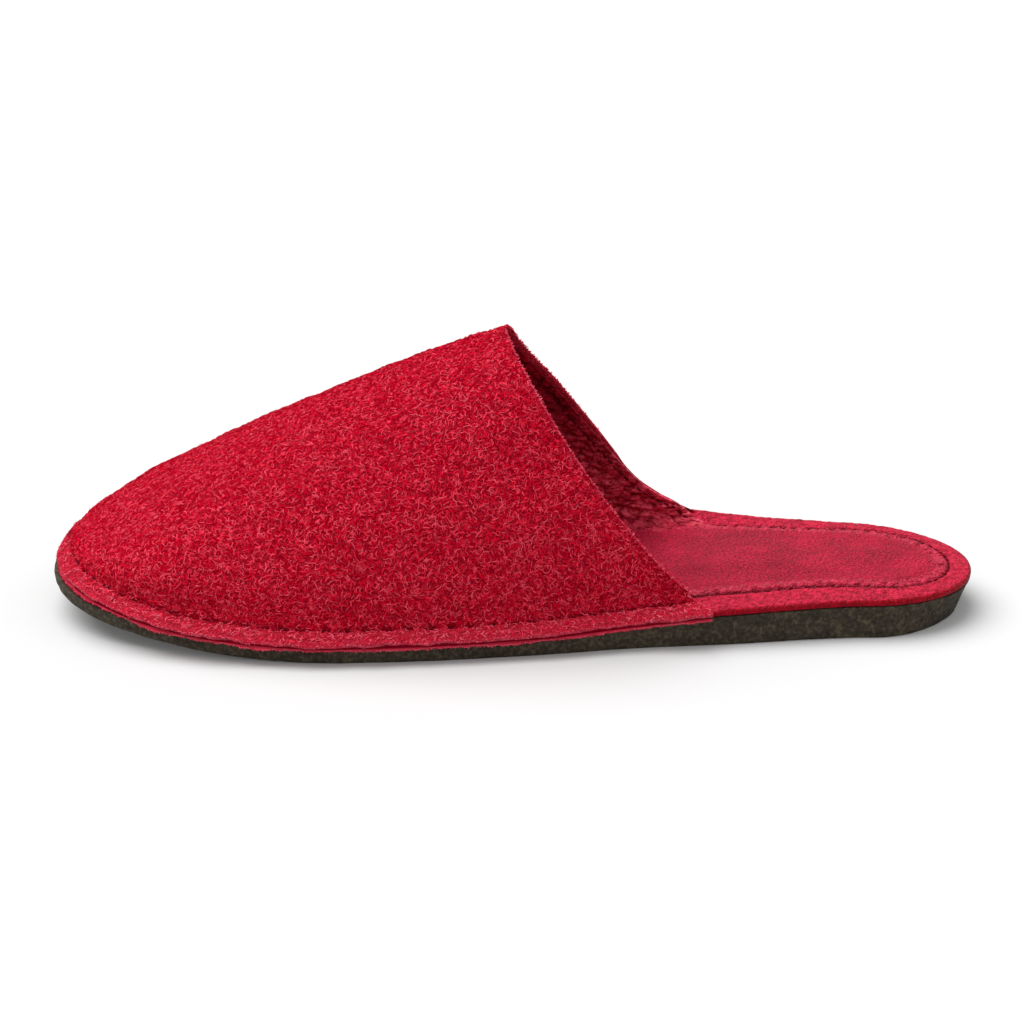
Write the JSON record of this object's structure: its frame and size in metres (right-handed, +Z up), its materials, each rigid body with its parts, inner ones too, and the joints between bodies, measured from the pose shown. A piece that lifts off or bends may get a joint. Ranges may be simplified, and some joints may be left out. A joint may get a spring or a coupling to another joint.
{
  "type": "slipper",
  "caption": "Open-back left house slipper: red suede vamp with a turned-out sewn edge, padded leather insole, dark rubber wedge sole.",
  "frame": {"origin": "middle of the length and of the width, on the floor the sole stands on", "axes": "+X from toe to heel, +Y towards the inner (medial) side of the foot, +Z up"},
  "size_m": [0.2704, 0.1088, 0.0824],
  "materials": {
    "sole_rubber": "matt, finely mottled",
    "insole_leather": "pebbled, soft sheen",
    "upper_suede": "napped suede outside, pebbled leather lining inside"
  },
  "bodies": {
    "root": {"outsole": "sole_rubber", "insole": "insole_leather", "upper": "upper_suede"}
  },
  "joints": []
}
